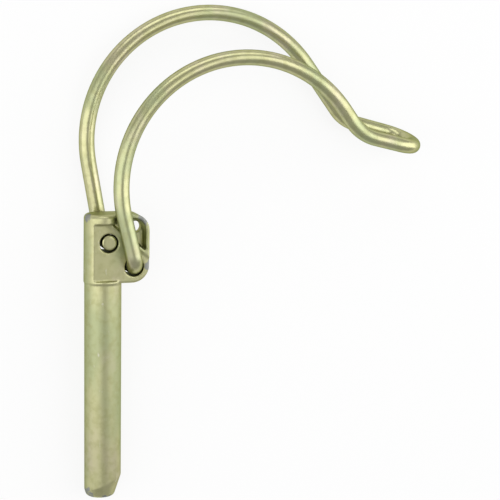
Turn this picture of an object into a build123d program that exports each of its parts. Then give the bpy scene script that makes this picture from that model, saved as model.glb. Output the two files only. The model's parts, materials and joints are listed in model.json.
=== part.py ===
from build123d import *
import os
from math import asin, hypot, degrees, radians, sin, sqrt, tan

# A lynch pin with a round spring bail, in millimetres.
# The pieces are drawn in the pin's own frame: the shank's axis is Y, with the top of the head at
# y = 0 and the tip at -Y. The lug reaches out along +X, and +Z is the front of the head.
# Both pieces are then laid down together, as the pin comes to rest on a flat surface.

# ---- the forged pin ----
PIN_LENGTH = 74.2
SHANK_D = 9.5
HEAD_PROUD = 0.2  # the head's round side stands this far out from the shank at its lower end
HEAD_DRAFT = 0.08  # and this much less at its top
HEAD_TOP_R = 1.2

TIP_BEVEL = 1.17  # the lead-in cone takes this off the shank all round at its end
TIP_OFFSET = 0.65  # the cone is ground off centre, away from the lug
TIP_ANGLE = 18.0
TIP_CONE_LENGTH = 12.0
TIP_R = 1.0

LUG_REACH = 11.35
LUG_LENGTH = 17.7
LUG_TOP_R = 4.2
LUG_BOTTOM_R = 4.5
LUG_EDGE_R = 0.5
RIM_EDGE_R = 0.25

FLAT_THICKNESS = 7.4  # across the two pressed faces that the bail's feet go through
FLAT_LENGTH = 17.07
CAP_LENGTH = 2.45  # the head stays round on its front above the flat
RIM_STEP = 0.2  # the rims stand above the flats
RIM_WIDTH = 0.95
RIB_WIDTH = 0.9
RIB_ANGLE = -38.64  # from +X

POCKET_LEFT = 1.0
POCKET_DRAFT = 8.0
WEB_THICKNESS = 2.6
TETHER_HOLE_D = 3.0
TETHER_HOLE = Vector(8.2, -3.55)

# ---- the spring wire bail ----
WIRE_D = 4.0
FOOT_HOLE_D = 4.9
REAR_HOLE = Vector(0.84, -7.35)  # the rear leg comes in here, from behind
FRONT_HOLE = Vector(7.38, -13.55)  # the front leg comes in here, from the front
REAR_LEAN = Vector(0.18, 0.10)  # the spring holds each foot off the middle of its hole
FRONT_LEAN = Vector(-0.04, 0.05)
FOOT_SINK = 0.3  # the cut end lies below the face it comes to
FOOT_BEND_R = 3.2
FOOT_EDGE = 0.25
LEG_CLEARANCE = 0.2  # between a leg and the rims that it swings over

BOW_R = 32.94  # centre line of the round bow
FRONT_BOW = Vector(36.32, 6.85)
REAR_BOW = Vector(29.96, 17.98)

FRONT_KNEE = Vector(67.6, 19.9)
REAR_KNEE = Vector(67.4, 22.9)
FRONT_KNEE_R = 12.0
REAR_KNEE_R = 9.5
LOOP_END = 84.7
FRONT_LOOP_Y = 15.9
REAR_LOOP_Y = 18.5
LOOP_ROUNDING = 0.92  # of half the loop's width, so that a short straight stays at its end

# ---- worked out ----
TIP_FLAT_D = SHANK_D - 2 * TIP_BEVEL
RIM_THICKNESS = FLAT_THICKNESS + 2 * RIM_STEP
LEG_Z = RIM_THICKNESS / 2 + LEG_CLEARANCE + WIRE_D / 2
FOOT_END_Z = FLAT_THICKNESS / 2 - FOOT_SINK
REAR_FOOT = REAR_HOLE + REAR_LEAN
FRONT_FOOT = FRONT_HOLE + FRONT_LEAN
TIP_BEVEL_LENGTH = TIP_BEVEL / tan(radians(TIP_ANGLE))
CLEAR = 20.0  # more than the head's size, for cutters that run out of it


def at(point, z):
    return Vector(point.X, point.Y, z)


def bar_along_y(diameter, low, high):
    return Pos(0, (low + high) / 2, 0) * Rot(X=-90) * Cylinder(diameter / 2, high - low)


def drill(point, diameter):
    return Pos(point.X, point.Y, 0) * Cylinder(diameter / 2, CLEAR)


# ---- pin ----
def shank():
    bar = bar_along_y(SHANK_D, TIP_CONE_LENGTH - PIN_LENGTH, -HEAD_TOP_R)
    nose = bar_along_y(SHANK_D, -PIN_LENGTH, TIP_CONE_LENGTH - PIN_LENGTH)
    wide = TIP_FLAT_D / 2 + TIP_CONE_LENGTH * tan(radians(TIP_ANGLE))
    cone = Rot(X=-90) * Cone(TIP_FLAT_D / 2, wide, TIP_CONE_LENGTH)
    nose = nose & Pos(-TIP_OFFSET, TIP_CONE_LENGTH / 2 - PIN_LENGTH, 0) * cone
    end = nose.faces().sort_by(Axis.Y)[0]
    return bar + fillet(end.edges(), TIP_R)


def round_head():
    """The head's round side, pressed flat over the foot holes in front and all the way up behind."""
    low_r = SHANK_D / 2 + HEAD_PROUD
    head = Pos(0, -LUG_LENGTH / 2, 0) * Rot(X=-90) * Cone(low_r, low_r - HEAD_DRAFT, LUG_LENGTH)
    head = fillet(head.faces().sort_by(Axis.Y)[-1].edges(), HEAD_TOP_R) + shank()
    block = Box(CLEAR, FLAT_LENGTH - CAP_LENGTH, CLEAR, align=(Align.CENTER, Align.MAX, Align.MIN))
    head -= Pos(0, -CAP_LENGTH, FLAT_THICKNESS / 2) * block
    block = Box(CLEAR, FLAT_LENGTH + SHANK_D, CLEAR, align=(Align.CENTER, Align.MAX, Align.MAX))
    return head - Pos(0, SHANK_D, -FLAT_THICKNESS / 2) * block


def lug_outline():
    outline = Pos(LUG_REACH / 2, -LUG_LENGTH / 2) * Rectangle(LUG_REACH, LUG_LENGTH)
    top = outline.vertices().group_by(Axis.X)[-1].sort_by(Axis.Y)[-1]
    outline = fillet(top, LUG_TOP_R)
    bottom = outline.vertices().group_by(Axis.Y)[0].sort_by(Axis.X)[-1]
    return fillet(bottom, LUG_BOTTOM_R)


def plate(outline, thickness, edge_r):
    slab = extrude(outline, thickness / 2, both=True)
    faces = slab.faces().sort_by(Axis.Z)
    return fillet(faces[0].edges() + faces[-1].edges(), edge_r)


def rib_line(offset, x):
    """Height, at x, of the line that lies this far above the rib's lower edge."""
    slope = tan(radians(RIB_ANGLE))
    return -CAP_LENGTH + offset / sin(radians(90 + RIB_ANGLE)) + slope * x


def above_rib():
    """The half of the lug that the rib bounds."""
    corners = [(0, rib_line(0, 0)), (CLEAR, rib_line(0, CLEAR)), (CLEAR, CLEAR), (0, CLEAR)]
    return make_face(Polyline(*corners, close=True))


def pocket_outline(inset):
    top = -RIM_WIDTH - inset
    right = LUG_REACH - RIM_WIDTH - inset
    left = POCKET_LEFT + inset
    rib = RIB_WIDTH + inset
    corners = [(left, top), (right, top), (right, rib_line(rib, right)), (left, rib_line(rib, left))]
    outline = make_face(Polyline(*corners, close=True))
    corner = outline.vertices().group_by(Axis.Y)[-1].sort_by(Axis.X)[-1]
    return fillet(corner, LUG_TOP_R - RIM_WIDTH - inset)


def pocket():
    """A drafted pocket down to the web, in the front face."""
    depth = (RIM_THICKNESS - WEB_THICKNESS) / 2
    floor = Pos(0, 0, WEB_THICKNESS / 2) * pocket_outline(depth * tan(radians(POCKET_DRAFT)))
    mouth = Pos(0, 0, RIM_THICKNESS / 2) * pocket_outline(0)
    return loft([floor, mouth])


def pin():
    outline = lug_outline()
    lug = plate(outline, FLAT_THICKNESS, LUG_EDGE_R)
    lug += plate(outline & above_rib(), RIM_THICKNESS, RIM_EDGE_R)
    body = round_head() + lug
    front_pocket = pocket()
    body -= front_pocket
    body -= mirror(front_pocket, Plane.XY)
    body -= drill(TETHER_HOLE, TETHER_HOLE_D)
    body -= drill(REAR_HOLE, FOOT_HOLE_D)
    return body - drill(FRONT_HOLE, FOOT_HOLE_D)


# ---- bail ----
def bend(before, corner, after, radius):
    """Start, middle and end of the arc that rounds the corner between two straight runs."""
    back = (before - corner).normalized()
    on = (after - corner).normalized()
    half = radians(back.get_angle(on)) / 2
    start = corner + back * (radius / tan(half))
    middle = corner + (back + on).normalized() * (radius / sin(half) - radius)
    return start, middle, corner + on * (radius / tan(half))


def touch(point, centre, side):
    """Where a straight run from a point comes onto the bow, keeping the bow on one side."""
    gap = centre - point
    run = gap.normalized().rotate(Axis.Z, side * degrees(asin(BOW_R / gap.length)))
    return point + run * sqrt(gap.length**2 - BOW_R**2)


def bow(foot, centre, knee, z):
    """Start, middle and end of a leg's round bow."""
    start = touch(foot, centre, 1)
    end = touch(knee, centre, -1)
    middle = centre + ((start - centre).normalized() + (end - centre).normalized()).normalized() * BOW_R
    return at(start, z), at(middle, z), at(end, z)


def bail_arcs():
    """Every bend of the wire, from the front foot round the finger loop to the rear foot."""
    front_bow = bow(FRONT_FOOT, FRONT_BOW, FRONT_KNEE, LEG_Z)
    rear_bow = bow(REAR_FOOT, REAR_BOW, REAR_KNEE, -LEG_Z)[::-1]
    front_foot, rear_foot = at(FRONT_FOOT, LEG_Z), at(REAR_FOOT, -LEG_Z)
    front_knee, rear_knee = at(FRONT_KNEE, LEG_Z), at(REAR_KNEE, -LEG_Z)
    front_end = Vector(LOOP_END, FRONT_LOOP_Y, LEG_Z)
    rear_end = Vector(LOOP_END, REAR_LOOP_Y, -LEG_Z)
    loop_r = (front_end - rear_end).length / 2 * LOOP_ROUNDING
    return [
        bend(at(FRONT_FOOT, 0), front_foot, front_bow[0], FOOT_BEND_R),
        front_bow,
        bend(front_bow[-1], front_knee, front_end, FRONT_KNEE_R),
        bend(front_knee, front_end, rear_end, loop_r),
        bend(front_end, rear_end, rear_knee, loop_r),
        bend(rear_end, rear_knee, rear_bow[0], REAR_KNEE_R),
        rear_bow,
        bend(rear_bow[-1], rear_foot, at(REAR_FOOT, 0), FOOT_BEND_R),
    ]


def bail():
    runs = []
    here = at(FRONT_FOOT, -FOOT_END_Z)
    for start, middle, end in bail_arcs():
        runs += [Line(here, start), ThreePointArc(start, middle, end)]
        here = end
    runs.append(Line(here, at(REAR_FOOT, FOOT_END_Z)))
    path = Wire(runs)
    section = Plane(origin=path @ 0, z_dir=path % 0) * Circle(WIRE_D / 2)
    rod = sweep(section, path=path)
    ends = rod.faces().filter_by(GeomType.PLANE)
    return chamfer([edge for face in ends for edge in face.edges()], FOOT_EDGE)


# ---- laying it down ----
def rest_tilt():
    """The line through the rear leg's two low points, and the turn about it that brings the tip down."""
    arcs = bail_arcs()
    loop_point, foot_point = arcs[4][2], arcs[-1][0]
    line = Axis(origin=foot_point, direction=loop_point - foot_point)
    across = line.direction.cross(Vector(0, 0, 1))
    tip = Vector(0, TIP_BEVEL_LENGTH - PIN_LENGTH, 0)
    reach = abs((tip - foot_point).dot(across))
    drop = asin(LEG_Z / hypot(reach, LEG_Z)) - asin((SHANK_D - WIRE_D) / 2 / hypot(reach, LEG_Z))
    return line, degrees(drop)


def laid_down(pieces):
    line, drop = rest_tilt()
    turned = {name: piece.rotate(line, drop) for name, piece in pieces.items()}
    box = Compound([solid for piece in turned.values() for solid in piece.solids()]).bounding_box()
    to_origin = Pos(-box.center().X, -box.center().Y, -box.min.Z)
    return {name: to_origin * piece for name, piece in turned.items()}, to_origin


def main():
    os.makedirs("parts", exist_ok=True)
    pieces, _ = laid_down({"pin": pin(), "bail": bail()})
    for name, piece in pieces.items():
        export_step(piece, f"parts/{name}.step")


main()
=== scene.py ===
# %% [markdown]
# # A lynch pin with a round spring bail
# A lynch pin is two pieces of steel. The pin is forged: a round shank with a flat lug on one side of
# its head. The bail is one length of spring wire. Both are zinc plated and then dipped in a yellow
# passivate, and that finish, a soft straw-coloured metal, is most of what the eye sees.
#
# The shapes come from a CAD model, which loads first and is never moved. Every size below is read
# from it or stated in millimetres.

# %% Load the frame
import json
import math
import bpy
from mathutils import Matrix, Vector


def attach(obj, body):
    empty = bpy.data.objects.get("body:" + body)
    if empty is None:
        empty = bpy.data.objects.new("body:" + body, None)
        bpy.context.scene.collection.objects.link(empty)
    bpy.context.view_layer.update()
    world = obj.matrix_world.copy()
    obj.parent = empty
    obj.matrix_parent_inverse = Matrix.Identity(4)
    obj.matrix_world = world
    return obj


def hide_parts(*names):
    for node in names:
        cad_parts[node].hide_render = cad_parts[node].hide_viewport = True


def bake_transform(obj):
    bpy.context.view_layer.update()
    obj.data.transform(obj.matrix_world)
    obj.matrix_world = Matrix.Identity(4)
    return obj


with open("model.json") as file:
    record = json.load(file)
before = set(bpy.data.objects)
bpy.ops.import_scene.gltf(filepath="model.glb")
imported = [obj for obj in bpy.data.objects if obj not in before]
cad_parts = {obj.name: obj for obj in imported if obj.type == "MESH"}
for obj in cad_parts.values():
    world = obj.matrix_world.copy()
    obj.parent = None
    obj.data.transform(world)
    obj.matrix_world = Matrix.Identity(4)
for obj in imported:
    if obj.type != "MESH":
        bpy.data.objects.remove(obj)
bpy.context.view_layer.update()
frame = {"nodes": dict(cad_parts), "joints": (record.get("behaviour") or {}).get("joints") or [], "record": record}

MM = 0.001

# %% [markdown]
# ## The pin's own axes
# The pin lies tipped by a few degrees, resting on the tip of its shank and on the bail. Lengths are
# easiest to give along the shank, so the first thing is a small frame of the pin's own. The record
# says where the shank's mount is and which way the bail's hinge points, and that is enough.

# %% The pin's own axes
mounts = {mount["name"]: mount for mount in frame["record"]["mounts"]}
hinge = frame["joints"][0]
SHANK_MIDDLE_FROM_TOP = 45.15 * MM

along = -Vector(mounts["shank"]["axis"])
front = -Vector(hinge["axis"])
side = along.cross(front)
head_top = Vector(mounts["shank"]["pos_m"]) + along * SHANK_MIDDLE_FROM_TOP


def on_pin(x, y, z):
    """A point given in millimetres across, along and in front of the shank, from the head's top."""
    return head_top + (side * x + along * y + front * z) * MM


def from_pin(x, y, z):
    """A direction given in the same axes."""
    return (side * x + along * y + front * z).normalized()


print("head top", [round(value, 4) for value in head_top], "tilt", round(math.degrees(along.angle((0, 1, 0))), 2))

# %% [markdown]
# ## Camera
# A long lens from about 37 centimetres keeps the shank's sides nearly parallel. It stands a little to
# the left of the pin and a little past its head, so the near side of the lug and the full sweep of
# both legs can be seen. The camera is built from three directions, which is more exact than aiming
# it with angles: a camera looks along its own -Z, with +Y up.

# %% Camera
VIEW_LEFT = math.radians(18.13)
VIEW_ABOVE = math.radians(8.87)
VIEW_ROLL = math.radians(1.01)
CAMERA_PLACE = (-78.32, 48.34, 359.87)
LENS = 104.6

look = from_pin(
    math.sin(VIEW_LEFT) * math.cos(VIEW_ABOVE),
    -math.sin(VIEW_ABOVE),
    -math.cos(VIEW_LEFT) * math.cos(VIEW_ABOVE),
)
level = from_pin(math.cos(VIEW_LEFT), 0, math.sin(VIEW_LEFT))
rise = level.cross(look)
right = math.cos(VIEW_ROLL) * level + math.sin(VIEW_ROLL) * rise
up = math.cos(VIEW_ROLL) * rise - math.sin(VIEW_ROLL) * level

camera_data = bpy.data.cameras.new("camera")
camera_data.lens = LENS
camera = bpy.data.objects.new("camera", camera_data)
bpy.context.scene.collection.objects.link(camera)
turn = Matrix((right, up, -look)).transposed().to_4x4()
camera.matrix_world = Matrix.Translation(on_pin(*CAMERA_PLACE)) @ turn
bpy.context.scene.camera = camera
print("camera at", [round(value, 3) for value in camera.location])

# %% [markdown]
# ## Shader sums as plain Python
# A node tree is easier to read as a formula. `Signal` wraps a node's output, and each operator adds
# the Math node that it stands for. The reflected forms, such as `__rsub__`, let a number come first,
# as in `1 - mask`. Colours and vectors have nodes of their own, so they go through `mix` and `scaled`.

# %% Shader sums as plain Python
class Signal:
    def __init__(self, paint, socket):
        self.paint, self.socket = paint, socket

    def sum(self, operation, first, second):
        return self.paint.node("ShaderNodeMath", {"operation": operation}, {0: first, 1: second})

    def __add__(self, other):
        return self.sum("ADD", self, other)

    __radd__ = __add__

    def __sub__(self, other):
        return self.sum("SUBTRACT", self, other)

    def __rsub__(self, other):
        return self.sum("SUBTRACT", other, self)

    def __mul__(self, other):
        return self.sum("MULTIPLY", self, other)

    __rmul__ = __mul__

    def above(self, low, high):
        """0 below low, 1 above high, and smooth between."""
        values = {"Value": self, "From Min": low, "From Max": high}
        return self.paint.node("ShaderNodeMapRange", {"interpolation_type": "SMOOTHSTEP"}, values)


class Paint:
    """A material and its node tree."""

    def __init__(self, name):
        self.material = bpy.data.materials.new(name)
        self.material.use_nodes = True
        self.tree = self.material.node_tree
        self.tree.nodes.clear()

    def node(self, kind, settings=None, values=None, output=0):
        """Adds a node: its settings first, then the values or links of its sockets."""
        node = self.tree.nodes.new(kind)
        for name, value in (settings or {}).items():
            if name == "stops":
                set_stops(node.color_ramp, value)
            else:
                setattr(node, name, value)
        for name, value in (values or {}).items():
            if isinstance(value, Signal):
                self.tree.links.new(value.socket, node.inputs[name])
            else:
                node.inputs[name].default_value = value
        return Signal(self, node.outputs[output]) if len(node.outputs) else None

    def mix(self, mask, first, second, blend="MIX"):
        """Colour first where the mask is 0 and second where it is 1."""
        settings = {"data_type": "RGBA", "blend_type": blend, "clamp_factor": True}
        return self.node("ShaderNodeMix", settings, {0: mask, 6: first, 7: second}, output=2)

    def scaled(self, vector, scale):
        return self.node("ShaderNodeVectorMath", {"operation": "MULTIPLY"}, {0: vector, 1: scale})

    def noise(self, place, per_metre, detail=3.0, seed=0.0):
        """Smooth random patches, this many to the metre, from 0 to 1."""
        values = {"Vector": place, "W": seed, "Scale": per_metre, "Detail": detail}
        return self.node("ShaderNodeTexNoise", {"noise_dimensions": "4D"}, values)

    def finish(self, shader):
        self.node("ShaderNodeOutputMaterial", {}, {"Surface": shader})
        return self.material


def set_stops(ramp, stops):
    for place, colour in stops:
        stop = ramp.elements.new(place)
        stop.color = (*colour, 1)
    ramp.elements.remove(ramp.elements[0])
    ramp.elements.remove(ramp.elements[-1])


print("shader helpers ready")

# %% [markdown]
# ## Yellow passivated zinc
# Under the colour it is a metal, so Metallic is 1 and the base colour tints every reflection. The
# passivate is a thin film of uneven thickness: straw where it is even, greener and pinker in soft
# clouds, and mottled with olive a millimetre or two across. Handling wears it away to grey zinc on
# the lug's corners and round the tip, and leaves pale scratches along the shank. Each of these is a
# mask made of noise, or of the distance from a worn spot, and it feeds only the base colour, the
# roughness and the bump. The base colour is also painted almost black wherever another surface is
# close by, in the crevices round the wire's feet and between the parts: that is painted shade.

# %% Yellow passivated zinc
STRAW = (0.53, 0.52, 0.29, 1)
GREENISH = (0.41, 0.46, 0.26, 1)
PINKISH = (0.57, 0.51, 0.37, 1)
OLIVE = (0.36, 0.36, 0.16, 1)
BARE_ZINC = (0.30, 0.31, 0.31, 1)
SCRATCHED = (0.74, 0.73, 0.62, 1)
EDGE_TINT = (0.42, 0.46, 0.28, 1)
# The near-black colour of the painted shade in crevices, and how far from other surfaces it reaches.
PAINTED_SHADE_COLOUR = (0.01, 0.01, 0.005, 1)
PAINTED_SHADE_REACH = 2.4
CLOUDS_PER_METRE = 90
MOTTLE_PER_METRE = 520
GRAIN_PER_METRE = 2600
ALONG_SHANK = (1.0, 0.16, 1.0)
WORN_SPOTS = [
    ("lug's top corner", (9.9, -1.1, 3.7), 2.0),
    ("lug's lower edge", (11.2, -13.2, 3.2), 1.6),
    ("left of the tip", (-4.0, -73.0, 1.6), 1.7),
    ("front of the tip", (0.2, -74.0, 2.6), 1.5),
    ("head's top left", (-4.2, -0.6, 1.6), 1.3),
]


def worn_round(paint, place, ragged):
    """How worn the finish is: 1 in the middle of a spot, with ragged edges."""
    wear = 0.0
    for _, spot, radius in WORN_SPOTS:
        settings = {"operation": "DISTANCE"}
        far = paint.node("ShaderNodeVectorMath", settings, {0: place, 1: on_pin(*spot)}, output=1)
        wear = (far + (ragged - 0.5) * radius * 2.6 * MM).above(radius * MM, radius * 0.6 * MM) + wear
    return wear


def passivated_zinc(name, roughness, scuffs, grain, stretch):
    paint = Paint(name)
    place = paint.node("ShaderNodeTexCoord", output=3)
    lengthwise = paint.scaled(place, (1.0, stretch, 1.0))
    green = paint.noise(lengthwise, CLOUDS_PER_METRE, seed=1.0).above(0.44, 0.62)
    pink = paint.noise(lengthwise, CLOUDS_PER_METRE * 1.4, seed=5.0).above(0.48, 0.66)
    mottle = paint.noise(place, MOTTLE_PER_METRE, detail=5, seed=7.0)
    ragged = paint.noise(place, MOTTLE_PER_METRE * 1.6, detail=6, seed=9.0)
    streaks = paint.noise(paint.scaled(place, ALONG_SHANK), MOTTLE_PER_METRE * 2.2, detail=6, seed=11.0)
    scratch = streaks.above(0.62, 0.70) * mottle.above(0.50, 0.60) * scuffs
    worn = worn_round(paint, place, ragged) * scuffs
    fine = paint.noise(lengthwise, GRAIN_PER_METRE, detail=2, seed=3.0)
    colour = paint.mix(green * 0.7, STRAW, GREENISH)
    colour = paint.mix(pink * 0.6, colour, PINKISH)
    colour = paint.mix(mottle.above(0.42, 0.70) * 0.42, colour, OLIVE)
    colour = paint.mix(scratch * 0.7, colour, SCRATCHED)
    colour = paint.mix(worn, colour, BARE_ZINC)
    # Painted shade: where another surface lies within a few millimetres, ambient occlusion turns the base colour
    # almost black, in the crevices round the wire's feet and between the parts.
    open_air = paint.node("ShaderNodeAmbientOcclusion", {"samples": 8}, {"Distance": PAINTED_SHADE_REACH * MM}, output=1)
    painted_shade_mask = open_air.above(0.45, 0.15)
    colour = paint.mix(painted_shade_mask, colour, PAINTED_SHADE_COLOUR)
    rough = roughness + 0.08 * green + 0.10 * worn + 0.14 * (mottle - 0.5)
    height = fine * grain + mottle * grain * 5 + streaks * grain * 2
    normal = paint.node("ShaderNodeBump", {}, {"Strength": 1.0, "Distance": 1.0, "Height": height})
    values = {"Base Color": colour, "Metallic": 1.0, "Roughness": rough, "Normal": normal}
    values["Specular Tint"] = EDGE_TINT
    return paint.finish(paint.node("ShaderNodeBsdfPrincipled", {}, values))


forged_finish = passivated_zinc("passivated forging", 0.42, 0.9, 0.000008, 0.35)
wire_finish = passivated_zinc("passivated spring wire", 0.30, 0.35, 0.000003, 0.8)
print("finishes", forged_finish.name, wire_finish.name)

# %% [markdown]
# ## Soft edges
# Forging, pressing and plating leave no sharp edge, and a CAD model has little else. A voxel remesh
# turns a copy of each CAD piece into an even skin of small squares. Smoothing that skin then rounds
# every edge by a few tenths of a millimetre and leaves the flats flat. Smoothing also draws a thin
# wire in a little, so the skin is pushed out again by the amount that it lost.

# %% Soft edges
def even_skin(name, node, voxel, rounds, regrow, finish):
    """A copy of a CAD node as a fine even mesh with its edges rounded."""
    source = frame["nodes"][node]
    piece = bpy.data.objects.new(name, source.data.copy())
    bpy.context.scene.collection.objects.link(piece)
    remesh = piece.modifiers.new("even skin", "REMESH")
    remesh.mode, remesh.voxel_size, remesh.use_smooth_shade = "VOXEL", voxel * MM, True
    smooth = piece.modifiers.new("soft edges", "SMOOTH")
    smooth.factor, smooth.iterations = 0.5, rounds
    push = piece.modifiers.new("size kept", "DISPLACE")
    push.strength, push.mid_level = regrow * MM, 0.0
    bpy.context.view_layer.update()
    shape = piece.evaluated_get(bpy.context.evaluated_depsgraph_get())
    mesh = bpy.data.meshes.new_from_object(shape)
    piece.modifiers.clear()
    piece.data = mesh
    mesh.materials.clear()
    mesh.materials.append(finish)
    for polygon in mesh.polygons:
        polygon.use_smooth = True
    print(name, "faces", len(mesh.polygons), "triangles about", 2 * len(mesh.polygons))
    return piece


forging = even_skin("forged_pin", "pin", 0.2, 4, 0.01, forged_finish)
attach(forging, "pin")
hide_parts("pin")

# %% [markdown]
# ## The spring bail
# The wire's two feet sit in holes that are nearly nine millimetres apart, so the bail can't simply
# turn: each leg springs about its own foot, and that is what makes it snap open and shut. The wire
# gets the same soft skin as the pin. The line through both holes, the way away from it and the reach
# of a bend from it are worked out, but no bend is applied: the wire keeps the CAD node's shape.

# %% The spring bail
spring = even_skin("spring_bail", "bail", 0.25, 5, 0.02, wire_finish)
rear_hole, front_hole = on_pin(0.84, -7.35, 0), on_pin(7.38, -13.55, 0)
between = (rear_hole + front_hole) / 2
away = (front_hole - rear_hole).cross(front).normalized()
if away.dot(side + along) < 0:
    away = -away
BEND_STARTS, BEND_ENDS = 1.5, 9.0
between + away * BEND_STARTS * MM
between + away * BEND_ENDS * MM
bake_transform(spring)
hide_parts("bail")
print("bend from", BEND_STARTS, "to", BEND_ENDS, "mm from the holes")

# %% [markdown]
# ## Floor
# A plain white floor, with the metal lying on it. Lit like that it would come out grey, so the camera
# and the metal's reflections see it mostly as plain white, and a share of it stays an ordinary matt
# surface that takes the pin's shadow.

# %% Floor
FLOOR_SIZE = 3.0
WHITE_SHARE = 0.86
RAYS = ("Is Camera Ray", "Is Glossy Ray")

paint = Paint("floor white")
rays = {name: paint.node("ShaderNodeLightPath", output=name) for name in RAYS}
camera_ray, glossy_ray = (rays[name] for name in RAYS)
seen = camera_ray.sum("MAXIMUM", camera_ray, glossy_ray) * WHITE_SHARE
matt = paint.node("ShaderNodeBsdfDiffuse", {}, {"Color": (0.9, 0.9, 0.9, 1)})
glow = paint.node("ShaderNodeEmission", {}, {"Color": (1, 1, 1, 1), "Strength": 1.0})
floor_finish = paint.finish(paint.node("ShaderNodeMixShader", {}, {0: seen, 1: matt, 2: glow}))

floor_mesh = bpy.data.meshes.new("floor")
half = FLOOR_SIZE / 2
floor_mesh.from_pydata([(-half, -half, 0), (half, -half, 0), (half, half, 0), (-half, half, 0)], [], [(0, 1, 2, 3)])
floor_mesh.materials.append(floor_finish)
floor = bpy.data.objects.new("floor", floor_mesh)
bpy.context.scene.collection.objects.link(floor)
print("floor", FLOOR_SIZE, "m")

# %% [markdown]
# ## Light
# A polished cylinder shows its surroundings as stripes along its length. Two long soft lamps, one on
# each side, give the shank its two bright bands, and the dimmer sky between them gives the darker
# middle. The world is a plain soft grey.

# %% Light
def soft_lamp(name, place, size, watts):
    data = bpy.data.lights.new(name, "AREA")
    data.shape, data.size, data.size_y = "RECTANGLE", size[0], size[1]
    data.energy = watts
    lamp = bpy.data.objects.new(name, data)
    lamp.location = on_pin(*place)
    aim = (on_pin(20, -15, 0) - lamp.location).normalized()
    lamp.rotation_euler = aim.to_track_quat("-Z", "Y").to_euler()
    bpy.context.scene.collection.objects.link(lamp)
    return lamp


soft_lamp("left lamp", (-420, 0, 330), (0.4, 0.8), 1.5)
soft_lamp("right lamp", (420, 60, 300), (0.4, 0.8), 1.7)
soft_lamp("far lamp", (0, 520, 260), (0.7, 0.25), 0.9)

world = bpy.data.worlds.new("studio")
world.use_nodes = True
world.node_tree.nodes["Background"].inputs["Color"].default_value = (1, 1, 1, 1)
world.node_tree.nodes["Background"].inputs["Strength"].default_value = 0.45
bpy.context.scene.world = world
bpy.context.scene.view_settings.view_transform = "Standard"
